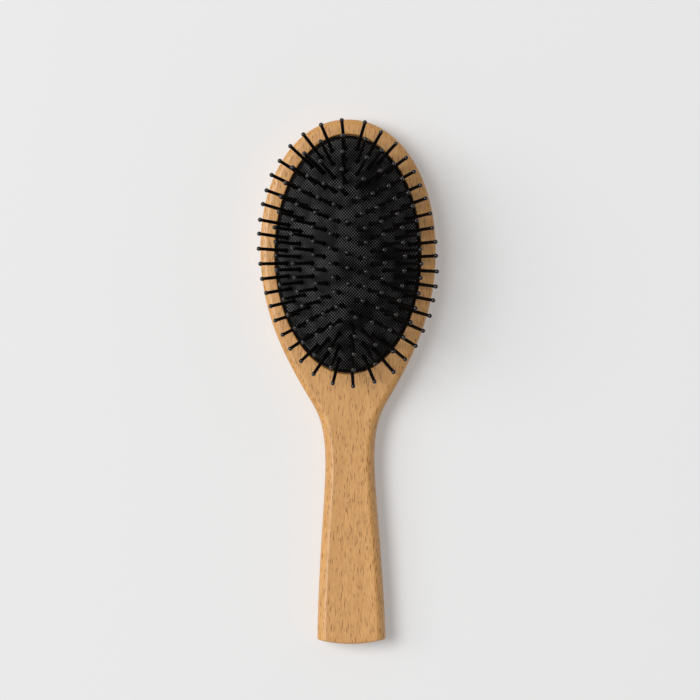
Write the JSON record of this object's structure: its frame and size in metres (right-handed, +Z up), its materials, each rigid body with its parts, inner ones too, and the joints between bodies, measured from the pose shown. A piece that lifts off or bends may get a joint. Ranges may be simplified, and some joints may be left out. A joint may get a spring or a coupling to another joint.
{
  "type": "cushion hair brush",
  "caption": "Oval cushion hair brush: one-piece beech head and handle, domed air cushion with a woven facing, and rings of ball-tipped pins that sink with it.",
  "frame": {"origin": "on the floor under the middle of the brush's length, the brush lying on its back", "axes": "+Y from the handle towards the head's tip, +Z up the way the pins point, +X across"},
  "size_m": [0.0764, 0.225, 0.0483],
  "materials": {
    "beech": "satin",
    "rubber": "matte",
    "facing": "matte",
    "pins": "gloss"
  },
  "bodies": {
    "brush_body": {"wood_body": "beech", "rubber_cushion": "rubber", "woven_facing": "facing"},
    "center_pins": {"center_row_pins": "pins"},
    "ring_1_pins": {"ring_1_pins_top": "pins", "ring_1_pins_upper_right": "pins", "ring_1_pins_lower_right": "pins", "ring_1_pins_bottom": "pins", "ring_1_pins_lower_left": "pins", "ring_1_pins_upper_left": "pins"},
    "ring_2_pins": {"ring_2_pins_top": "pins", "ring_2_pins_upper_right": "pins", "ring_2_pins_lower_right": "pins", "ring_2_pins_bottom": "pins", "ring_2_pins_lower_left": "pins", "ring_2_pins_upper_left": "pins"},
    "ring_3_pins": {"ring_3_pins_top": "pins", "ring_3_pins_upper_right": "pins", "ring_3_pins_lower_right": "pins", "ring_3_pins_bottom": "pins", "ring_3_pins_lower_left": "pins", "ring_3_pins_upper_left": "pins"},
    "ring_4_pins": {"ring_4_pins_top": "pins", "ring_4_pins_upper_right": "pins", "ring_4_pins_lower_right": "pins", "ring_4_pins_bottom": "pins", "ring_4_pins_lower_left": "pins", "ring_4_pins_upper_left": "pins"},
    "ring_5_pins": {"ring_5_pins_top": "pins", "ring_5_pins_upper_right": "pins", "ring_5_pins_lower_right": "pins", "ring_5_pins_bottom": "pins", "ring_5_pins_lower_left": "pins", "ring_5_pins_upper_left": "pins"}
  },
  "joints": [
    {"name": "cushion_press", "type": "slide", "parent": "brush_body", "child": "center_pins", "axis": [0, 0, -1], "range_m": [0, 0.004], "stiffness_N_per_m": 1500, "deforming": ["rubber_cushion", "woven_facing"]},
    {"name": "ring_1_sink", "type": "slide", "parent": "brush_body", "child": "ring_1_pins", "axis": [0, 0, -1], "range_m": [0, 0.0039]},
    {"name": "ring_2_sink", "type": "slide", "parent": "brush_body", "child": "ring_2_pins", "axis": [0, 0, -1], "range_m": [0, 0.0036]},
    {"name": "ring_3_sink", "type": "slide", "parent": "brush_body", "child": "ring_3_pins", "axis": [0, 0, -1], "range_m": [0, 0.0031]},
    {"name": "ring_4_sink", "type": "slide", "parent": "brush_body", "child": "ring_4_pins", "axis": [0, 0, -1], "range_m": [0, 0.0023]},
    {"name": "ring_5_sink", "type": "slide", "parent": "brush_body", "child": "ring_5_pins", "axis": [0, 0, -1], "range_m": [0, 0.0013]}
  ],
  "couplings": [
    {"joint": "ring_1_sink", "follows": "cushion_press", "ratio": 0.974},
    {"joint": "ring_2_sink", "follows": "cushion_press", "ratio": 0.895},
    {"joint": "ring_3_sink", "follows": "cushion_press", "ratio": 0.761},
    {"joint": "ring_4_sink", "follows": "cushion_press", "ratio": 0.567},
    {"joint": "ring_5_sink", "follows": "cushion_press", "ratio": 0.305}
  ]
}
